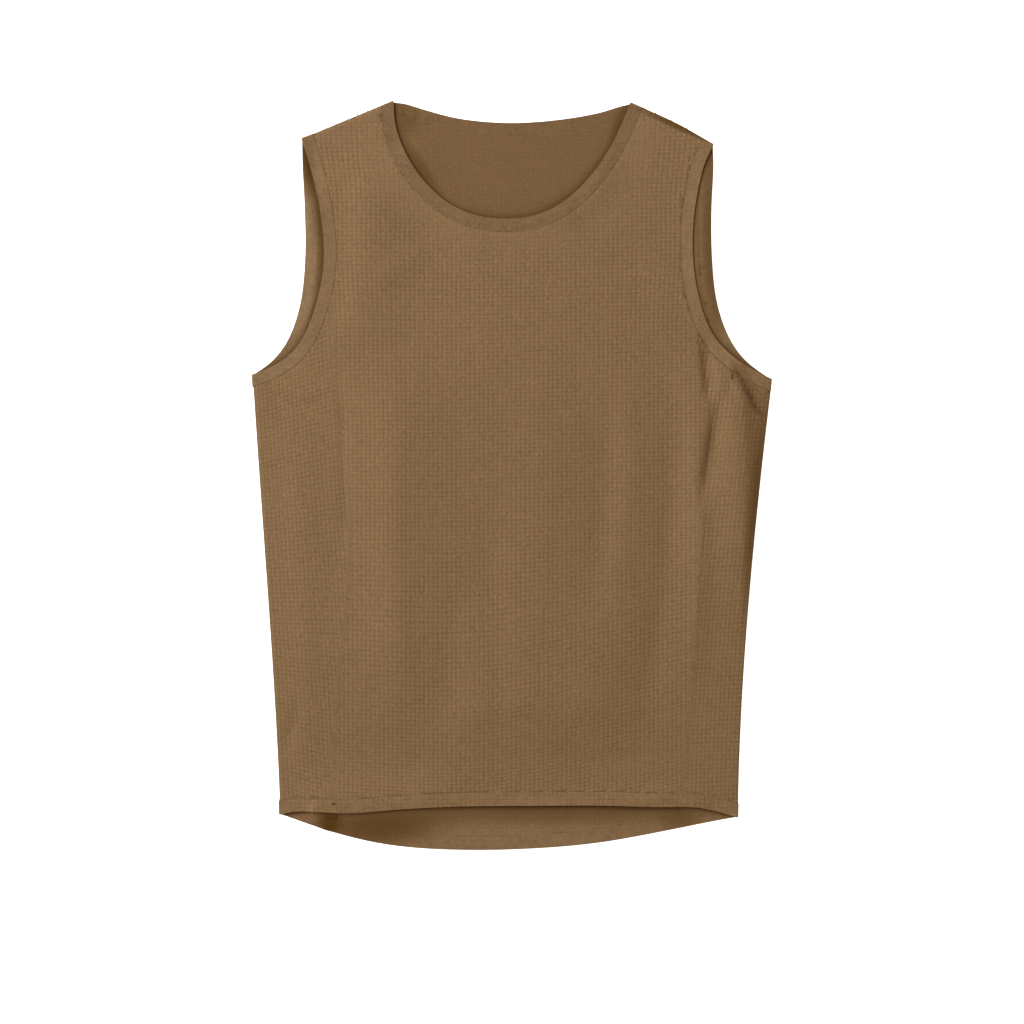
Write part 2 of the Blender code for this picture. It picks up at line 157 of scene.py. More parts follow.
def creaseLift(creases, x, y):
    lift = np.zeros_like(x)
    for points, leftWidth, rightWidth, height in creases.values():
        stops = np.linspace(0, len(points) - 1, creaseRun["steps"] * len(points))
        fit = np.polyfit(np.arange(len(points)), np.array(points, float), len(points) - 1)
        pathX, pathY = np.polyval(fit[:, 0], stops), np.polyval(fit[:, 1], stops)
        reach = creaseRun["reach"] * max(leftWidth, rightWidth)
        near = (x / mm > pathX.min() - reach) & (x / mm < pathX.max() + reach)
        near &= (y / mm > pathY.min() - reach) & (y / mm < pathY.max() + reach)
        if not near.any():
            continue
        nearX, nearY = x[near] / mm, y[near] / mm
        aside, share = np.full_like(nearX, np.inf), np.zeros_like(nearX)
        for index in range(len(stops) - 1):
            runX, runY = pathX[index + 1] - pathX[index], pathY[index + 1] - pathY[index]
            offX, offY = nearX - pathX[index], nearY - pathY[index]
            along = np.clip((offX * runX + offY * runY) / (runX**2 + runY**2), 0, 1)
            away = np.hypot(offX - along * runX, offY - along * runY)
            away = np.where(runX * offY - runY * offX > 0, away, -away)
            closer = np.abs(away) < np.abs(aside)
            aside = np.where(closer, away, aside)
            share = np.where(closer, (index + along) / (len(stops) - 1), share)
        width = np.where(aside > 0, leftWidth, rightWidth)
        fade = smooth(share / creaseRun["fade"]) * smooth((1 - share) / creaseRun["fade"])
        lift[near] += height * mm * fade * np.exp(-((aside / width) ** 2))
    return lift


# The level of the front's cloth, read from the solids on a coarse map and smoothed.
levelMap = {
    "step": 4 * mm,
    "blur": 5 * mm,
    "lookFrom": 100 * mm,
    "frontStarts": 2.3 * mm,  # a solid's face above this is the front's
    "spare": 1e-6,  # weight of the front's usual level, for where no cloth is near
}


def readLevels():
    whole = bmesh.new()
    for node in nodes.values():
        whole.from_mesh(node.data)
    tree = BVHTree.FromBMesh(whole)
    whole.free()
    step, (low, high) = levelMap["step"], cadBox
    levelMap["x"] = np.arange(low.x - 2 * step, high.x + 3 * step, step)
    levelMap["y"] = np.arange(low.y - 2 * step, high.y + 3 * step, step)
    levels = np.zeros((len(levelMap["y"]), len(levelMap["x"])))
    weights = np.zeros_like(levels)
    for row, y in enumerate(levelMap["y"]):
        for column, x in enumerate(levelMap["x"]):
            hit = tree.ray_cast(Vector((x, y, levelMap["lookFrom"])), down)[0]
            if hit and hit.z > levelMap["frontStarts"]:
                levels[row, column] = hit.z - solidWall / 2
                weights[row, column] = 1
    usual = levels.sum() / weights.sum()
    levels += levelMap["spare"] * usual
    weights += levelMap["spare"]
    reach = int(3 * levelMap["blur"] / step) + 1
    taps = np.exp(-0.5 * (np.arange(-reach, reach + 1) * step / levelMap["blur"]) ** 2)
    for axis in (0, 1):
        levels = np.apply_along_axis(np.convolve, axis, levels, taps, "same")
        weights = np.apply_along_axis(np.convolve, axis, weights, taps, "same")
    levelMap["level"] = levels / weights


def solidFront(x, y):
    step, level = levelMap["step"], levelMap["level"]
    column = np.clip((x - levelMap["x"][0]) / step, 0, level.shape[1] - 1.001)
    row = np.clip((y - levelMap["y"][0]) / step, 0, level.shape[0] - 1.001)
    c, r = column.astype(int), row.astype(int)
    across, up = column - c, row - r
    low = level[r, c] * (1 - across) + level[r, c + 1] * across
    high = level[r + 1, c] * (1 - across) + level[r + 1, c + 1] * across
    return low * (1 - up) + high * up


def rippleLift(x, y):
    lift = np.zeros_like(x)
    for height, size in ripples:
        waves = [noise(Vector((px / size, py / size, rippleSlice))) for px, py in zip(x, y)]
        lift += height * np.array(waves)
    return lift


def backLift(x, y):
    return np.maximum(creaseLift(backCreases, x, y), 0)


def frontLevel(x, y):
    level = solidFront(x, y) + creaseLift(frontCreases, x, y) + rippleLift(x, y)
    return np.maximum(level, cloth["frontLow"]) + backLift(x, y)


def backLevel(x, y):
    return backRest + backLift(x, y)


# Folds. The cloth goes over each side and each shoulder, and a fold is kept as a smooth line.
foldSearch = {
    "rays": 40,  # up each side
    "lookFrom": 400 * mm,  # from the middle
    "depth": 30 * mm,  # a hit further in than this is another stretch of the panel
    "share": 0.951,  # of the full turn that the solid's few flats reach
    "seamLow": 0.1 * mm,  # a shoulder's seam lies below this
    "starts": 0.05 * mm,  # past a fold's line
}


def outerSkin(name, underside=False):
    skin = bmesh.new()
    skin.from_mesh(nodes[name].data)
    bmesh.ops.remove_doubles(skin, verts=skin.verts, dist=cloth["merge"])
    choose = min if underside else max
    toVisit = [choose(skin.faces, key=lambda face: face.calc_center_median().z)]
    reached = set(toVisit)
    while toVisit:
        for edge in toVisit.pop().edges:
            if edge.calc_face_angle(pi) > cloth["sharp"]:
                continue
            for face in edge.link_faces:
                if face not in reached:
                    reached.add(face)
                    toVisit.append(face)
    rest = [face for face in skin.faces if face not in reached]
    bmesh.ops.delete(skin, geom=rest, context="FACES")
    return skin


def foldLine(along, across, outward, byHeight):
    fit = np.polyfit(along, across, 3)
    return {"fit": fit, "slope": np.polyder(fit), "outward": outward, "byHeight": byHeight}


def sideFold(side, outward):
    low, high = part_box("side_panel_" + side)
    solid = bmesh.new()
    solid.from_mesh(nodes["side_panel_" + side].data)
    tree = BVHTree.FromBMesh(solid)
    solid.free()
    inward = Vector((-outward, 0, 0))
    levels = np.linspace(low.y, high.y, foldSearch["rays"])
    starts = [Vector((outward * foldSearch["lookFrom"], y, turnMiddle)) for y in levels]
    hits = [hit for hit in (tree.ray_cast(start, inward)[0] for start in starts) if hit]
    edge = max(abs(hit.x) for hit in hits) - foldSearch["depth"]
    hits = [hit for hit in hits if abs(hit.x) > edge]
    reach = (cloth["turnRadius"] + solidWall / 2) * foldSearch["share"]
    across = [hit.x - outward * reach for hit in hits]
    return foldLine([hit.y for hit in hits], across, outward, byHeight=False)


def shoulderFold(outward):
    skin = outerSkin("front_panel")
    low = [v.co for v in skin.verts if v.co.z < foldSearch["seamLow"]]
    seam = [co for co in low if co.x * outward > 0]
    fold = foldLine([co.x for co in seam], [co.y for co in seam], 1, byHeight=True)
    skin.free()
    return fold


def besideFold(fold, x, y):
    along, across = (x, y) if fold["byHeight"] else (y, x)
    slope = np.polyval(fold["slope"], along)
    scale = fold["outward"] / np.sqrt(1 + slope**2)
    out = (across - np.polyval(fold["fit"], along)) * scale
    acrossWay, alongWay = scale, -slope * scale
    if fold["byHeight"]:
        return out, alongWay, acrossWay
    return out, acrossWay, alongWay


def unfolded(fold, x, y, z):
    out, wayX, wayY = besideFold(fold, x, y)
    turn = cloth["turnRadius"] * np.arctan2(out, z - turnMiddle)
    past = pi * cloth["turnRadius"] - out
    flat = np.where(out > foldSearch["starts"], turn, np.where(z > turnMiddle, out, past))
    return x + wayX * (flat - out), y + wayY * (flat - out)


def folded(fold, x, y, rise=0):
    out, wayX, wayY = besideFold(fold, x, y)
    radius = cloth["turnRadius"]
    angle = np.clip(out / radius, 0, pi)
    past = np.maximum(out - pi * radius, 0)
    shift = np.where(out > 0, radius * np.sin(angle) - past - out, 0) + rise * np.sin(angle)
    return x + wayX * shift, y + wayY * shift, angle


def places(verts):
    co = np.array([v.co for v in verts])
    return co[:, 0], co[:, 1], co[:, 2]


def place(verts, x, y, z):
    for vert, px, py, pz in zip(verts, x, y, z):
        vert.co = (px, py, pz)


def newPiece(name, shape, materials=()):
    mesh = bpy.data.meshes.new(name)
    shape.to_mesh(mesh)
    shape.free()
    mesh.shade_smooth()
    for material in materials:
        mesh.materials.append(material)
    piece = bpy.data.objects.new(name, mesh)
    bpy.context.scene.collection.objects.link(piece)
    return piece


def finished(piece):  # a piece's shape with its modifiers, in place of the piece
    shape = bmesh.new()
    shape.from_object(piece, bpy.context.evaluated_depsgraph_get())
    bpy.data.objects.remove(piece)
    return shape


def layAt(x, y, onFront):  # onFront is 0 on the back, 1 on the front and between them in a fold
    back = backLevel(x, y)
    return back + onFront * (frontLevel(x, y) - back)


turnShare = {"starts": 0.06, "reach": 0.88}  # of a solid's rise, where it goes from back to front


def settle(shape, onFront=None):
    x, y, z = places(shape.verts)
    if onFront is None:
        share = (z - solidBack) / (solidFront(x, y) - solidBack)
        onFront = np.clip((share - turnShare["starts"]) / turnShare["reach"], 0, 1)
    place(shape.verts, x, y, layAt(x, y, onFront))


def faceOut(shape, upward):
    bmesh.ops.recalc_face_normals(shape, faces=shape.faces)
    highest = max(shape.faces, key=lambda face: face.calc_center_median().z)
    if (highest.normal.z > 0) != upward:
        bmesh.ops.reverse_faces(shape, faces=shape.faces)


def walled(name, shape, materials, outer, inner, edge=0):
    piece = newPiece(name, shape, materials)
    thicken = piece.modifiers.new("wall", "SOLIDIFY")
    thicken.thickness = outer + inner
    thicken.offset = (outer - inner) / (outer + inner)
    thicken.use_even_offset = bool(edge)
    thicken.material_offset = 1
    if edge:
        soften = piece.modifiers.new("soft edge", "BEVEL")
        soften.width = edge
        soften.segments = 2
        soften.limit_method = "ANGLE"
        soften.angle_limit = cloth["sharp"]
    return finished(piece)


def join(piece, node):
    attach(piece, "root")
    if node:
        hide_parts(node)


# Weave. Cells are counted in columns and rows, and the knit lies a little crooked, as cloth does.
bodyWeave = {
    "column": 3.88 * mm,
    "row": 3.55 * mm,
    "rowSwell": 0.80 * mm,  # rows are taller round the belly
    "swellY": -120 * mm,
    "swellReach": 55 * mm,
    "hemSqueeze": 0.42 * mm,  # and lower towards the hem
    "hemStarts": -200 * mm,
    "hemReach": 60 * mm,
    "columns": 110,
    "top": 330 * mm,
    "low": -330 * mm,
}
sideWeave = {
    "column": 3.5 * mm,
    "row": 3.72 * mm,
    "columns": 54,
    "rows": 135,
    "low": -330 * mm,
    "start": 28 * mm,  # how far in from the fold the middle column is
    "still": 30 * mm,  # how far in the rows keep their level when they turn
    "leftTurn": 0.0017 / mm,  # the left side's rows turn more and more above and below this level
    "leftLevel": -110 * mm,
    "rightSlope": -0.04,
}
frontPull = {  # a pull's start, how far up it is full, and its size
    "chest": (120 * mm, 70 * mm, 4 * mm),  # columns spread
    "straps": (225 * mm, 70 * mm, 8 * mm),
    "leftWaist": (95 * mm, -60 * mm, 3 * mm),  # columns draw in
    "belly": (-20 * mm, -140 * mm, 1),  # rows slant
    "columnsFrom": 75 * mm,  # columns nearer the middle than this stay
    "columnsReach": 90 * mm,
    "columnsMost": 1.5,
    "rise": 0.03,  # of the rows to the right of this place
    "riseFrom": -60 * mm,
    "slant": 0.055,
    "bow": 0.11,
    "bowMiddle": -24 * mm,
    "bowRound": 38 * mm,
    "bowLift": 42 * mm,
}
backPull = {"lean": 0.012, "bow": 0.000032 / mm}


def rowLevels():
    rows = [bodyWeave["top"]]
    while rows[-1] > bodyWeave["low"]:
        y = rows[-1]
        swell = np.exp(-(((y - bodyWeave["swellY"]) / bodyWeave["swellReach"]) ** 2))
        squeeze = smooth((bodyWeave["hemStarts"] - y) / bodyWeave["hemReach"])
        step = bodyWeave["row"] + bodyWeave["rowSwell"] * swell - bodyWeave["hemSqueeze"] * squeeze
        rows.append(y - step)
    return np.array(rows)


def pulled(name, y):
    start, reach, size = frontPull[name]
    return smooth((y - start) / reach) * size


def frontWeave(column, row):
    x, y = column * bodyWeave["column"], rows[row]
    fromMiddle = (abs(x) - frontPull["columnsFrom"]) / frontPull["columnsReach"]
    share = np.clip(fromMiddle, 0, frontPull["columnsMost"])
    fan = pulled("chest", y) + pulled("straps", y)
    shown = x + np.sign(x) * share * fan + np.where(x < 0, share * pulled("leftWaist", y), 0)
    rise = frontPull["rise"] * np.maximum(shown - frontPull["riseFrom"], 0)
    bow = shown - frontPull["bowMiddle"]
    lift = np.hypot(bow, frontPull["bowRound"]) - frontPull["bowLift"]
    slant = frontPull["slant"] * bow + frontPull["bow"] * lift
    return shown, y + rise + slant * pulled("belly", y)


def backWeave(column, row):
    x, y = column * bodyWeave["column"], rows[row]
    return x + backPull["lean"] * y, y + backPull["bow"] * x * x


def sideWeaveOf(fold, side):
    def weave(column, row):
        y = sideWeave["low"] + row * sideWeave["row"]
        inward = column * sideWeave["column"] + sideWeave["start"]
        slope = sideWeave["rightSlope"]
        if side == "left":
            slope = sideWeave["leftTurn"] * (y - sideWeave["leftLevel"])
        y = y + slope * (inward - sideWeave["still"])
        return np.polyval(fold["fit"], y) - fold["outward"] * inward, y

    return weave


# A panel's outline, flattened: over a fold the cloth is rolled out, so that the knit runs on.
def flatOutline(skin, sideFolds):
    plate = skin.copy()
    for side, fold in sideFolds.items():
        verts = [v for v in plate.verts if side * v.co.x > 0]
        x, y, z = places(verts)
        place(verts, *unfolded(fold, x, y, z), z * 0)
    for vert in plate.verts:
        vert.co.z = 0
    bmesh.ops.remove_doubles(plate, verts=plate.verts, dist=cloth["merge"])
    bmesh.ops.dissolve_faces(plate, faces=plate.faces, use_verts=False)
    outline = plate.faces[:][0]
    outline.normal_update()
    if outline.normal.z < 0:
        outline.normal_flip()
    area = outline.calc_area()
    corners = [loop.vert.co.copy() for loop in outline.loops]
    plate.free()
    first = min(range(len(corners)), key=lambda index: corners[index][:])
    return corners[first:] + corners[:first], area


def grown(corners, distance):
    ends = corners[1:] + corners[:1]
    outs = [Vector((e.y - s.y, s.x - e.x, 0)).normalized() for s, e in zip(corners, ends)]
    return [c + (outs[i - 1] + outs[i]).normalized() * distance for i, c in enumerate(corners)]


def outlineEdges(corners):  # the outline's stretches from corner to corner
    count = len(corners)
    runs = [end - start for start, end in zip(corners, corners[1:] + corners[:1])]
    angles = [runs[index - 1].angle(runs[index]) for index in range(count)]
    turns = [index for index, angle in enumerate(angles) if angle > cloth["corner"]]
    edges = []
    for start, end in zip(turns, turns[1:] + [turns[0] + count]):
        edges.append([corners[index % count] for index in range(start, end + 1)])
    return edges


def centres(faces):
    middles = [face.calc_center_median() for face in faces]
    return np.array([m.x for m in middles]), np.array([m.y for m in middles])


def awayFrom(start, end, x, y):
    run = end - start
    offX, offY = x - start.x, y - start.y
    along = np.clip((offX * run.x + offY * run.y) / run.length_squared, 0, 1)
    return np.hypot(offX - along * run.x, offY - along * run.y)


def trim(sheet, outline):  # cuts the sheet along its outline, and takes away what is outside
    ends = outline[1:] + outline[:1]
    x, y = centres(sheet.faces)
    nearest = np.full_like(x, np.inf)
    for start, end in zip(outline, ends):
        nearest = np.minimum(nearest, awayFrom(start, end, x, y))
    edgeCells = [face for face, away in zip(sheet.faces, nearest) if away < cloth["cellReach"]]
    for start, end in zip(outline, ends):
        x, y = centres(edgeCells)
        close = awayFrom(start, end, x, y) < cloth["cellReach"]
        crossed = [face for face, isClose in zip(edgeCells, close) if isClose]
        parts = dict.fromkeys(part for face in crossed for part in (*face.verts, *face.edges))
        run = end - start
        cut = bmesh.ops.bisect_plane(
            sheet, geom=[*parts, *crossed], dist=cloth["cutSnap"],
            plane_co=start, plane_no=Vector((run.y, -run.x, 0)).normalized(),
        )
        pieces = [part for part in cut["geom"] if isinstance(part, bmesh.types.BMFace)]
        edgeCells = list(dict.fromkeys([*edgeCells, *pieces]))
    x, y = centres(sheet.faces)
    inside = np.zeros(len(x), bool)
    for start, end in zip(outline, ends):
        if start.y != end.y:
            crosses = (start.y > y) != (end.y > y)
            reach = start.x + (y - start.y) * (end.x - start.x) / (end.y - start.y)
            inside ^= crosses & (x < reach)
    outside = [face for face, isInside in zip(sheet.faces, inside) if not isInside]
    bmesh.ops.delete(sheet, geom=outside, context="FACES")
    bmesh.ops.remove_doubles(sheet, verts=sheet.verts, dist=cloth["cutMerge"])
    bmesh.ops.dissolve_degenerate(sheet, edges=sheet.edges, dist=cloth["shortEdge"])


def knitSheet(outline, columns, rowCount, weave):  # a square for each cell, bent to the weave
    sheet = bmesh.new()
    uv = sheet.loops.layers.uv.new("weave")
    bmesh.ops.create_grid(sheet, x_segments=columns, y_segments=rowCount, size=0.5)
    counts = {}
    for vert in sheet.verts:
        across, up = vert.co.x + 0.5, vert.co.y + 0.5
        counts[vert] = (round(across * columns), round(up * rowCount))
    column = np.array([counts[v][0] for v in sheet.verts]) - columns // 2
    row = np.array([counts[v][1] for v in sheet.verts])
    x, y = weave(column, row)
    place(sheet.verts, x, y, x * 0)
    for face in sheet.faces:
        for loop in face.loops:
            loop[uv].uv = counts[loop.vert]
    bmesh.ops.recalc_face_normals(sheet, faces=sheet.faces)
    trim(sheet, outline)
    return sheet


def raiseCells(shape):  # of the outer side, where a cell is whole
    uv = shape.loops.layers.uv["weave"]
    cells = []
    for face in shape.faces:
        if face.material_index or len(face.verts) != 4:
            continue
        corners = {tuple(round(c, 2) for c in loop[uv].uv) for loop in face.loops}
        whole = all(u == round(u) and v == round(v) for u, v in corners)
        if len(corners) == 4 and whole:
            cells.append(face)
    bmesh.ops.inset_individual(
        shape, faces=cells, thickness=cloth["lineHalf"], depth=cloth["cellHeight"],
        use_even_offset=True, use_interpolate=True,
    )
    return len(cells)


def knitPanel(name, node, sideFolds, columns, rowCount, weave, layer):
    skin = outerSkin(node, underside=layer == "back")
    corners, area = flatOutline(skin, sideFolds)
    skin.free()
    sheet = knitSheet(grown(corners, cloth["tuckUnder"]), columns, rowCount, weave)
    x, y, z = places(sheet.verts)
    onFront = np.full_like(x, layer != "back")
    for side, fold in sideFolds.items():
        newX, newY, angle = folded(fold, x, y)
        chosen = side * x > 0
        x, y = np.where(chosen, newX, x), np.where(chosen, newY, y)
        onFront = np.where(chosen, (1 + np.cos(angle)) / 2, onFront)
    place(sheet.verts, x, y, z)
    settle(sheet, onFront)
    faceOut(sheet, layer != "back")
    half = cloth["wall"] / 2
    shape = walled(name, sheet, (knit, knitInside), half, half)
    count = raiseCells(shape)
    piece = newPiece(name, shape, (knit, knitInside))
    join(piece, node)
    size = [max(c[axis] for c in corners) - min(c[axis] for c in corners) for axis in (0, 1)]
    cut = [round(side / mm) for side in size]
    print(name, count, "whole cells,", len(piece.data.polygons), "faces")
    print("    cut", cut, "mm,", round(area, 4), "m2")
    return {"piece": piece, "area": area, "size": size, "edges": outlineEdges(corners)}


# Bands. Each is a ring, from its free edge, share 0, to the seam with the panels, share 1.
bandWidths = {"neck": 11 * mm, "armhole": 10.5 * mm, "hem": 11.5 * mm}
bandFinish = {"fineness": 3, "softEdge": 0.16 * mm}


def diagonals(skin):  # the edges that split the solid's four-sided faces into triangles
    longest = {face: max(face.edges, key=lambda edge: edge.calc_length()) for face in skin.faces}
    inner = [edge for edge in skin.edges if len(edge.link_faces) == 2]
    return [edge for edge in inner if all(longest[face] == edge for face in edge.link_faces)]


def rims(skin):  # the points of each closed edge of the skin
    seen, found = set(), []
    for first in skin.edges:
        if not first.is_boundary or first in seen:
            continue
        rim, toVisit = [], [first]
        seen.add(first)
        while toVisit:
            edge = toVisit.pop()
            rim.append(edge)
            for vert in edge.verts:
                for other in vert.link_edges:
                    if other.is_boundary and other not in seen:
                        seen.add(other)
                        toVisit.append(other)
        found.append(list(dict.fromkeys(vert for edge in rim for vert in edge.verts)))
    return found


def stepsFrom(rim):  # how many edges each point is away from the rim
    steps = {vert: 0 for vert in rim}
    ring = list(rim)
    while ring:
        following = []
        for vert in ring:
            for edge in vert.link_edges:
                other = edge.other_vert(vert)
                if other not in steps:
                    steps[other] = steps[vert] + 1
                    following.append(other)
        ring = following
    return steps


def markShares(skin):
    panels = bmesh.new()
    for name in ("front_panel", "back_panel", "side_panel_left", "side_panel_right"):
        panels.from_mesh(nodes[name].data)
    tree = BVHTree.FromBMesh(panels)
    panels.free()

    def toPanels(rim):
        return sum(tree.find_nearest(v.co)[3] for v in rim) / len(rim)

    byNearness = sorted(rims(skin), key=toPanels)
    fromSeam, fromFree = stepsFrom(byNearness[0]), stepsFrom(byNearness[-1])
    uv = skin.loops.layers.uv.new("band")
    for face in skin.faces:
        for loop in face.loops:
            free, seam = fromFree[loop.vert], fromSeam[loop.vert]
            loop[uv].uv = (free / max(free + seam, 1), 0)


def band(name, node, width, materials):
    skin = outerSkin(node)
    bmesh.ops.dissolve_edges(skin, edges=diagonals(skin), use_verts=False)
    markShares(skin)
    skin.normal_update()
    for vert in skin.verts:
        vert.co -= vert.normal * solidWall / 2
    rough = newPiece(name + ".rough", skin)
    refine = rough.modifiers.new("fine", "SUBSURF")
    refine.levels = refine.render_levels = bandFinish["fineness"]
    shape = finished(rough)
    area = sum(face.calc_area() for face in shape.faces)
    settle(shape)
    faceOut(shape, True)
    outer, inner = cloth["bandOuter"], cloth["bandInner"]
    shape = walled(name, shape, materials, outer, inner, bandFinish["softEdge"])
    piece = newPiece(name, shape, materials)
    piece.modifiers.new("even shade", "WEIGHTED_NORMAL")
    join(piece, node)
    print(name, len(piece.data.polygons), "faces; cut", round(area / width / mm), "mm long")
    return {"piece": piece, "area": area, "size": (width, area / width)}


# Seam strips. A narrow flat seam covers each join between two panels.
strip = {
    "width": 5.6 * mm,
    "shoulderWidth": 3.2 * mm,
    "wall": 0.36 * mm,
    "rise": 0.38 * mm,  # of its middle above the middle of the panels' cloth
    "crown": 0.12 * mm,
    "step": 2.2 * mm,
    "across": 6,  # faces
    "softEdge": 0.1 * mm,
    "past": 2.0 * mm,  # how far it goes in under a band
    "endDip": 0.2 * mm,  # and how much lower it is there
    "dipReach": 3.2 * mm,
}


def unit(run):
    return run / np.hypot(*run)


def evenly(points, step, past):  # the same way, in even steps and longer at both ends
    way = np.array([point[:2] for point in points])
    before = way[:1] - unit(way[1] - way[0]) * past
    after = way[-1:] + unit(way[-1] - way[-2]) * past
    way = np.vstack([before, way, after])
    length = np.concatenate([[0], np.cumsum(np.hypot(*np.diff(way, axis=0).T))])
    stops = np.linspace(0, length[-1], int(length[-1] / step) + 1)
    return np.interp(stops, length, way[:, 0]), np.interp(stops, length, way[:, 1]), stops


def seamStrip(name, points, fold, width, material, past=strip["past"], lift=0):
    wayX, wayY, stops = evenly(points, strip["step"], past)
    runX, runY = np.gradient(wayX, stops), np.gradient(wayY, stops)
    size = np.hypot(runX, runY)
    shape = bmesh.new()
    uv = shape.loops.layers.uv.new("strip")
    last, across = len(stops) - 1, strip["across"]
    bmesh.ops.create_grid(shape, x_segments=last, y_segments=across, size=0.5)
    along = np.array([round((v.co.x + 0.5) * last) for v in shape.verts])
    aside = np.array([round((v.co.y + 0.5) * across) for v in shape.verts]) / across - 0.5
    for face in shape.faces:
        for loop in face.loops:
            index = loop.vert.index
            loop[uv].uv = (stops[along[index]] / mm, aside[index] + 0.5)
    x = wayX[along] - runY[along] / size[along] * aside * width
    y = wayY[along] + runX[along] / size[along] * aside * width
    toEnd = np.minimum(stops[along], stops[-1] - stops[along])
    dip = strip["endDip"] * smooth(1 - toEnd / strip["dipReach"])
    rise = strip["rise"] + lift - strip["crown"] * 4 * aside**2 - dip
    x, y, angle = folded(fold, x, y, rise)
    level = layAt(x, y, (1 + np.cos(angle)) / 2)
    place(shape.verts, x, y, level + rise * np.cos(angle))
    faceOut(shape, angle.mean() < pi / 2)
    half = strip["wall"] / 2
    shape = walled(name, shape, (material,) * 2, half, half, strip["softEdge"])
    piece = newPiece(name, shape, (material,))
    join(piece, None)
    return piece


# Materials
tones = {
    "knit": (0.233, 0.141, 0.067),
    "band": (0.238, 0.145, 0.069),
    "inside": (0.225, 0.136, 0.064),
    "neck": (0.199, 0.120, 0.057),
    # the neck inside tone is the inside tone darkened towards the hollow tone: painted shade for
    # the neck band's inner face
    "neckInside": (0.184, 0.105, 0.046),
    "deep": (0.074, 0.026, 0.004),  # between the threads and in the seams
    "hollow": (0.104, 0.047, 0.009),  # where other cloth keeps the light off
    "strip": (0.215, 0.130, 0.061),
    "thread": (0.090, 0.045, 0.014),
}
matte = {"roughness": 0.92, "specular": 0.12}

# Painted shade: the cloth's colour is darkened near other cloth, found by ambient occlusion: how
# near, the openness at which that is full and gone, and its most.
paintedShadeNearCloth = {"reach": 18 * mm, "full": 0.72, "none": 0.985, "most": 0.6}
ovalEdge = (0.15, 1.15)  # an oval shade fades out from the first to the second, its rim being 1

# Inside the openings the cloth is painted deep in shade. Each oval of painted shade, in millimetres
# and degrees, has its middle, its reach across and along, its turn and its depth of tone.
insidePaintedShades = {
    "leftArm": ((-172, 264), (10, 34), 8, 0.9),
    "leftArmLow": ((-161, 200), (7, 60), 2, 0.1),
    "rightArm": ((172, 200), (14, 100), 0, 0.6),
    "neckCorner": ((-94, 302), (20, 22), 0, 0.45),
    "neckSide": ((-77, 262), (6.5, 40), 34, 0.5),
    "neckRight": ((90, 298), (6, 24), -21, 0.6),
    "hemLeft": ((-112, -298), (70, 22), 4, 0.82),
    "hemCorner": ((-154, -293), (16, 15), 35, 1.0),
    "hemMiddle": ((24, -286), (165, 13), 0, 0.5),
    "hemRight": ((142, -292), (26, 12), 0, 0.5),
}
innerPaintedShade = {"upper": ((0, 290), (500, 380), 0, 0.36)}  # painted shade, deeper towards the head end
outsidePaintedShades = {  # and painted shade outside, where the cloth turns away from the light
    "rightShoulder": ((139.5, 295.2), (3.8, 46), 65.6, 0.85),
    "rightSide": ((209, -15), (11, 110), -5.7, 0.68),
}


def shade(tone, factor=1):
    return (*(channel * factor for channel in tone), 1)


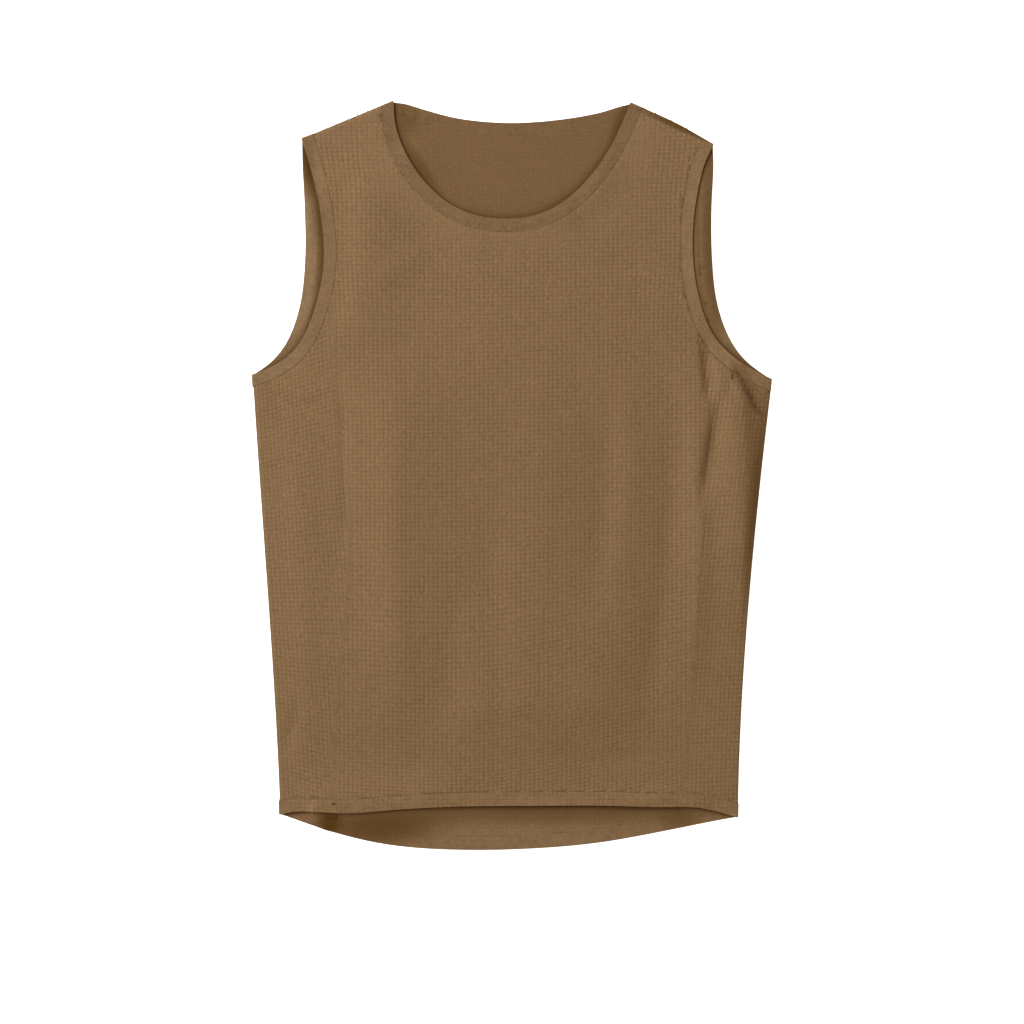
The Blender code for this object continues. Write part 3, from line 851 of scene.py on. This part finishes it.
class Mixer:  # a few short ways to add and join shader nodes
    def __init__(self, name):
        self.material = bpy.data.materials.new(name)
        self.material.use_nodes = True
        self.tree = self.material.node_tree
        self.shader = self.tree.nodes["Principled BSDF"]

    def add(self, kind, **values):
        node = self.tree.nodes.new("ShaderNode" + kind)
        for key, value in values.items():
            setattr(node, key, value)
        return node

    def set(self, socket, value):
        if isinstance(value, bpy.types.NodeSocket):
            self.tree.links.new(value, socket)
        else:
            socket.default_value = value

    def math(self, operation, *values):
        node = self.add("Math", operation=operation)
        for socket, value in zip(node.inputs, values):
            self.set(socket, value)
        return node.outputs[0]

    def split(self, vector):
        node = self.add("SeparateXYZ")
        self.set(node.inputs[0], vector)
        return node.outputs

    def noise(self, place, scale, detail=2.0):
        node = self.add("TexNoise")
        self.set(node.inputs["Vector"], place)
        node.inputs["Scale"].default_value = scale
        node.inputs["Detail"].default_value = detail
        return node.outputs["Fac"]

    def ramp(self, value, start, end, low=0.0, high=1.0):
        node = self.add("MapRange", interpolation_type="SMOOTHSTEP")
        self.set(node.inputs["Value"], value)
        ends = {"From Min": start, "From Max": end, "To Min": low, "To Max": high}
        for key, number in ends.items():
            node.inputs[key].default_value = number
        return node.outputs[0]

    def between(self, share, low, high):
        return self.math("MULTIPLY_ADD", share, high - low, low)

    def line(self, count, width):  # 1 on the lines between whole counts, and 0 off them
        return self.ramp(self.math("PINGPONG", count, 0.5), 0.0, width, 1.0, 0.0)

    def grain(self, place, parts, start=0.0):  # noises of several scales, each with its part
        for scale, part in parts:
            start = self.math("MULTIPLY_ADD", self.noise(place, scale, 1.0), part, start)
        return start

    def chance(self, across, up):  # one random number for each whole count
        whole = self.add("CombineXYZ")
        self.set(whole.inputs[0], self.math("FLOOR", across))
        self.set(whole.inputs[1], self.math("FLOOR", up))
        node = self.add("TexWhiteNoise", noise_dimensions="2D")
        self.set(node.inputs["Vector"], whole.outputs[0])
        return node.outputs["Value"]

    def mix(self, share, first, second):
        node = self.add("Mix", data_type="RGBA")
        self.set(node.inputs[0], share)
        self.set(node.inputs[6], first)
        self.set(node.inputs[7], second)
        return node.outputs[2]

    def mottled(self, grain, tone, extremes):
        darkest, lightest = extremes
        return self.mix(grain, shade(tone, darkest), shade(tone, lightest))

    def away(self, middle, reach, turn):  # 0 in the middle of an oval and 1 all round its rim
        moved = self.add("Mapping", vector_type="TEXTURE")
        self.set(moved.inputs["Vector"], self.add("TexCoord").outputs["Object"])
        moved.inputs["Location"].default_value = (middle[0] * mm, middle[1] * mm, 0)
        moved.inputs["Rotation"].default_value = (0, 0, radians(turn))
        moved.inputs["Scale"].default_value = (reach[0] * mm, reach[1] * mm, 1)
        length = self.add("VectorMath", operation="LENGTH")
        self.set(length.inputs[0], moved.outputs[0])
        return length.outputs["Value"]

    # Paints shade into the colour, deepest in the middle of each oval and fading out to its rim.
    def shaded(self, colour, shades):
        for middle, reach, turn, depth in shades.values():
            share = self.ramp(self.away(middle, reach, turn), *ovalEdge, depth, 0.0)
            colour = self.mix(share, colour, shade(tones["hollow"]))
        return colour

    def paintShadeInHollows(self, colour):  # painted shade, darker in hollows and beside raised edges, found by ambient occlusion
        shelter = self.add("AmbientOcclusion", samples=8)
        shelter.inputs["Distance"].default_value = paintedShadeNearCloth["reach"]
        openness = shelter.outputs["AO"]
        share = self.ramp(openness, paintedShadeNearCloth["full"], paintedShadeNearCloth["none"], paintedShadeNearCloth["most"], 0.0)
        return self.mix(share, colour, shade(tones["hollow"]))

    def finish(self, colour, height, distance):
        bump = self.add("Bump")
        bump.inputs["Strength"].default_value = 1
        bump.inputs["Distance"].default_value = distance
        self.set(bump.inputs["Height"], height)
        self.set(self.shader.inputs["Normal"], bump.outputs[0])
        # the base colour carries the painted shade of the hollows
        self.set(self.shader.inputs["Base Color"], self.paintShadeInHollows(colour))
        self.shader.inputs["Roughness"].default_value = matte["roughness"]
        self.shader.inputs["Specular IOR Level"].default_value = matte["specular"]
        return self.material


# A place on the cloth is in metres, so a noise's scale is how many of its waves go in one.
knitLook = {
    "wander": 330,
    "wanderMost": 0.175,  # of a cell
    "patches": (40, 0.3, 0.66),  # scale, and the noise from which to which lines grow strong
    "dash": (0.42, 0.97),  # weakest and strongest line beside one cell
    "bar": (0.25, 1.05),
    "barShift": 57.5,  # rows, so that bars and dashes draw their own chances
    "cell": 0.04,  # part of each cell's own tone
    "threads": (4.2, 1.1, 0.22),  # in a cell across and up, and their part
    "grain": ((1000, 0.56), (420, 0.16), (170, 0.05)),  # scale and part
    "extremes": (0.3, 1.7),
    "fibre": 1500,
    "fibreHeight": 0.15 * mm,
    "neckOval": ((0, 316), (101, 99), 0),
    "neckFade": (1.1, 1.45, 0.3, 1.0),  # the lines are faint near the neck
}
knitLines = {  # width in cells, the faintest patch, and the depth of columns, rows and crossings
    "outside": {"width": 0.3, "faint": 0.72, "column": 0.31, "row": 0.23, "dot": 0.1},
    "inside": {"width": 0.3, "faint": 0.4, "column": 0.12, "row": 0.12, "dot": 0.04},
}


def knitMaterial(name, tone, side):
    mixer, lines, look = Mixer(name), knitLines[side], knitLook
    across, up = mixer.split(mixer.add("UVMap", uv_map="weave").outputs[0])[:2]
    place = mixer.add("TexCoord").outputs["Object"]
    wander = mixer.noise(place, look["wander"], 1.0)
    wander = mixer.between(wander, -look["wanderMost"], look["wanderMost"])
    column, row = mixer.math("ADD", across, wander), mixer.math("ADD", up, wander)
    columnLine, rowLine = mixer.line(column, lines["width"]), mixer.line(row, lines["width"])
    dash = mixer.chance(mixer.math("ADD", column, 0.5), row)
    bar = mixer.chance(column, mixer.math("ADD", row, look["barShift"]))
    scale, weak, strong = look["patches"]
    patch = mixer.ramp(mixer.noise(place, scale), weak, strong, lines["faint"], 1.0)
    dashes = mixer.math("MULTIPLY", columnLine, mixer.between(dash, *look["dash"]))
    bars = mixer.math("MULTIPLY", rowLine, mixer.between(bar, *look["bar"]))
    dots = mixer.math("MULTIPLY", columnLine, rowLine)
    dark = mixer.math("MULTIPLY", dashes, lines["column"])
    dark = mixer.math("MULTIPLY_ADD", bars, lines["row"], dark)
    dark = mixer.math("MULTIPLY_ADD", dots, lines["dot"], dark)
    dark = mixer.math("MULTIPLY", dark, patch)
    if side == "outside":
        nearNeck = mixer.ramp(mixer.away(*look["neckOval"]), *look["neckFade"])
        dark = mixer.math("MULTIPLY", dark, nearNeck)
    threadsAcross, threadsUp, threadPart = look["threads"]
    threads = mixer.add("CombineXYZ")
    mixer.set(threads.inputs[0], mixer.math("MULTIPLY", across, threadsAcross))
    mixer.set(threads.inputs[1], mixer.math("MULTIPLY", up, threadsUp))
    grain = mixer.math("MULTIPLY", mixer.chance(across, up), look["cell"])
    grain = mixer.grain(threads.outputs[0], ((1.0, threadPart),), grain)
    grain = mixer.grain(place, look["grain"], grain)
    ground = mixer.mottled(grain, tone, look["extremes"])
    colour = mixer.mix(dark, ground, shade(tones["deep"]))
    # painted shade in ovals: outside where the cloth turns away, inside in the openings and towards
    # the head end
    colour = mixer.shaded(colour, outsidePaintedShades if side == "outside" else {**innerPaintedShade, **insidePaintedShades})
    return mixer.finish(colour, mixer.noise(place, look["fibre"], 3.0), look["fibreHeight"])


bandLook = {
    "wander": 200,
    "wanderMost": 0.2,
    "line": 0.2,
    "patches": (60, 0.35, 0.65),
    "seam": (0.88, 0.99),  # share of the way to the seam, over which it grows dark
    "grain": ((1000, 0.5), (420, 0.3), (170, 0.2)),
    "extremes": (0.35, 1.65),
    "fibre": 1700,
    "fibreHeight": 0.12 * mm,
}


def bandMaterial(name, tone, seamDark, grid, inside=False):
    mixer, look = Mixer(name), bandLook
    share = mixer.split(mixer.add("UVMap", uv_map="band").outputs[0])[0]
    place = mixer.add("TexCoord").outputs["Object"]
    x, y = mixer.split(place)[:2]
    wander = mixer.noise(place, look["wander"], 1.0)
    wander = mixer.between(wander, -look["wanderMost"], look["wanderMost"])
    column = mixer.math("MULTIPLY_ADD", x, 1 / bodyWeave["column"], wander)
    row = mixer.math("MULTIPLY_ADD", y, 1 / bodyWeave["row"], wander)
    columnLine, rowLine = mixer.line(column, look["line"]), mixer.line(row, look["line"])
    lines = mixer.math("MULTIPLY", mixer.math("MAXIMUM", columnLine, rowLine), grid)
    scale, weak, strong = look["patches"]
    lines = mixer.math("MULTIPLY", lines, mixer.ramp(mixer.noise(place, scale), weak, strong))
    dark = mixer.math("MULTIPLY_ADD", mixer.ramp(share, *look["seam"]), seamDark, lines)
    ground = mixer.mottled(mixer.grain(place, look["grain"]), tone, look["extremes"])
    colour = mixer.mix(dark, ground, shade(tones["deep"]))
    # painted shade in ovals: inside in the openings, and outside where the cloth turns away
    colour = mixer.shaded(colour, insidePaintedShades if inside else outsidePaintedShades)
    return mixer.finish(colour, mixer.noise(place, look["fibre"], 3.0), look["fibreHeight"])


stripLook = {
    "slant": (0.8, 1.4),  # stitches in a millimetre along, and in the width across
    "stitch": 0.42,
    "stitchDark": 0.08,
    "stitchHeight": 0.05 * mm,
    "edges": (0.3, 0.5),  # share of the width from the middle, over which it grows dark
    "edgeDark": 0.2,
    "grain": ((1000, 0.6), (300, 0.4)),
    "extremes": (0.4, 1.6),
}


def stripMaterial(name, tone):
    mixer, look = Mixer(name), stripLook
    along, across = mixer.split(mixer.add("UVMap", uv_map="strip").outputs[0])[:2]
    place = mixer.add("TexCoord").outputs["Object"]
    slantAlong, slantAcross = look["slant"]
    slant = mixer.math("MULTIPLY", along, slantAlong)
    stitch = mixer.line(mixer.math("MULTIPLY_ADD", across, slantAcross, slant), look["stitch"])
    aside = mixer.math("ABSOLUTE", mixer.math("SUBTRACT", across, 0.5))
    edges = mixer.ramp(aside, *look["edges"])
    dark = mixer.math("MULTIPLY", edges, look["edgeDark"])
    dark = mixer.math("MULTIPLY_ADD", stitch, look["stitchDark"], dark)
    ground = mixer.mottled(mixer.grain(place, look["grain"]), tone, look["extremes"])
    colour = mixer.mix(dark, ground, shade(tones["deep"]))
    return mixer.finish(colour, stitch, look["stitchHeight"])


knit = knitMaterial("knit", tones["knit"], "outside")
knitInside = knitMaterial("knit inside", tones["inside"], "inside")
neckCloth = bandMaterial("neck band", tones["neck"], 0.0, 0.2)
armCloth = bandMaterial("armhole band", tones["band"], 0.3, 0.2)
hemCloth = bandMaterial("hem band", tones["band"], 0.02, 0.32)
bandInside = bandMaterial("band inside", tones["inside"], 0.0, 0.1, inside=True)
neckInside = bandMaterial("neck band inside", tones["neckInside"], 0.0, 0.1, inside=True)
stripCloth = stripMaterial("seam strip", tones["strip"])
tackCloth = stripMaterial("tack", tones["thread"])

readLevels()
folds = {
    "left": sideFold("left", -1),
    "right": sideFold("right", 1),
    "leftShoulder": shoulderFold(-1),
    "rightShoulder": shoulderFold(1),
}
print("levels and folds read")

outwards = {"left": -1, "right": 1}
rows = rowLevels()
shoulders = {sign: folds[side + "Shoulder"] for side, sign in outwards.items()}
bodyGrid = (bodyWeave["columns"], len(rows) - 1)
front = knitPanel("frontPanel", "front_panel", shoulders, *bodyGrid, frontWeave, "front")
back = knitPanel("backPanel", "back_panel", {}, *bodyGrid, backWeave, "back")
sides = {}
for side, sign in outwards.items():
    sides[side] = knitPanel(
        "sidePanel" + side.capitalize(), "side_panel_" + side, {sign: folds[side]},
        sideWeave["columns"], sideWeave["rows"], sideWeaveOf(folds[side], side), "side",
    )

neck = band("neckBand", "neck_band", bandWidths["neck"], (neckCloth, neckInside))
for side in outwards:
    name, node = "armholeBand" + side.capitalize(), "armhole_band_" + side
    band(name, node, bandWidths["armhole"], (armCloth, bandInside))
hem = band("hemBand", "hem_band", bandWidths["hem"], (hemCloth, bandInside))


def meanOut(edge, fold):
    x, y, z = (np.array(part) for part in zip(*edge))
    return besideFold(fold, x, y)[0].mean()


for side, panel in sides.items():
    byOut = sorted(panel["edges"], key=lambda edge: meanOut(edge, folds[side]))
    for where, edge in (("Front", byOut[0]), ("Back", byOut[-1])):
        name = side + "Seam" + where
        seamStrip(name, edge, folds[side], strip["width"], stripCloth)
for side, sign in outwards.items():
    fold = folds[side + "Shoulder"]
    edges = [edge for edge in front["edges"] if sign * sum(point.x for point in edge) > 0]
    edge = max(edges, key=lambda edge: sum(point.y for point in edge) / len(edge))
    name = side + "SeamShoulder"
    seamStrip(name, edge, fold, strip["shoulderWidth"], stripCloth)

# Tacks. A few dark stitches hold the seams at the hem and under the arm: their ends and width in
# millimetres.
tacks = {
    "left": (((-151.6, -277), (-148.6, -277)), 1.3),
    "right": (((186.4, 86.2), (185.8, 80.6)), 1.1),
}
tackLift = 0.45 * mm
for side, (ends, width) in tacks.items():
    name = side + "Tack"
    ends = [(x * mm, y * mm) for x, y in ends]
    seamStrip(name, ends, folds[side], width * mm, tackCloth, 0, tackLift)


for side, panel in sides.items():
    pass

# Floor, light and camera.
studio = {
    "floor": 6.0,
    "floorLevel": -0.3 * mm,  # just clear of the cloth
    "floorTone": (0.93, 0.93, 0.93, 1),
    "floorRoughness": 0.9,
    "floorGlow": 1.1,
    "camera": (0.4 * mm, -30.8 * mm, 2.046),
    "lens": 85,
    "sensor": 36,
    "world": 0.32,
    "worldTone": (1.12, 0.86, 0.55, 1),  # warm, as cloth glows in its own folds
}
lights = {
    "key": {"place": (-2.02, 1.52, 1.86), "size": 3.0, "power": 136, "tone": (0.954, 1.053, 1.172)},
    "fill": {"place": (1.6, -1.2, 2.2), "size": 2.0, "power": 7, "tone": (1, 1, 1)},
}


def makeStudio():
    bpy.context.scene.view_settings.view_transform = "Standard"
    shape = bmesh.new()
    bmesh.ops.create_grid(shape, x_segments=2, y_segments=2, size=studio["floor"])
    bmesh.ops.translate(shape, verts=shape.verts, vec=(0, 0, studio["floorLevel"]))
    mixer = Mixer("floor")
    floor = newPiece("floor", shape, (mixer.material,))
    mixer.shader.inputs["Base Color"].default_value = studio["floorTone"]
    mixer.shader.inputs["Roughness"].default_value = studio["floorRoughness"]
    mixer.shader.inputs["Emission Color"].default_value = (1, 1, 1, 1)
    mixer.shader.inputs["Emission Strength"].default_value = studio["floorGlow"]
    world = bpy.data.worlds.new("studio")
    world.use_nodes = True
    world.node_tree.nodes["Background"].inputs[0].default_value = studio["worldTone"]
    world.node_tree.nodes["Background"].inputs[1].default_value = studio["world"]
    bpy.context.scene.world = world
    for name, light in lights.items():
        lamp = bpy.data.lights.new(name, "AREA")
        lamp.size = light["size"]
        lamp.energy = light["power"]
        lamp.color = light["tone"]
        holder = bpy.data.objects.new(name, lamp)
        holder.location = light["place"]
        holder.rotation_euler = (-Vector(light["place"])).to_track_quat("-Z", "Y").to_euler()
        bpy.context.scene.collection.objects.link(holder)
    lens = bpy.data.cameras.new("camera")
    lens.lens = studio["lens"]
    lens.sensor_width = studio["sensor"]
    camera = bpy.data.objects.new("camera", lens)
    camera.location = studio["camera"]
    bpy.context.scene.collection.objects.link(camera)
    bpy.context.scene.camera = camera


makeStudio()
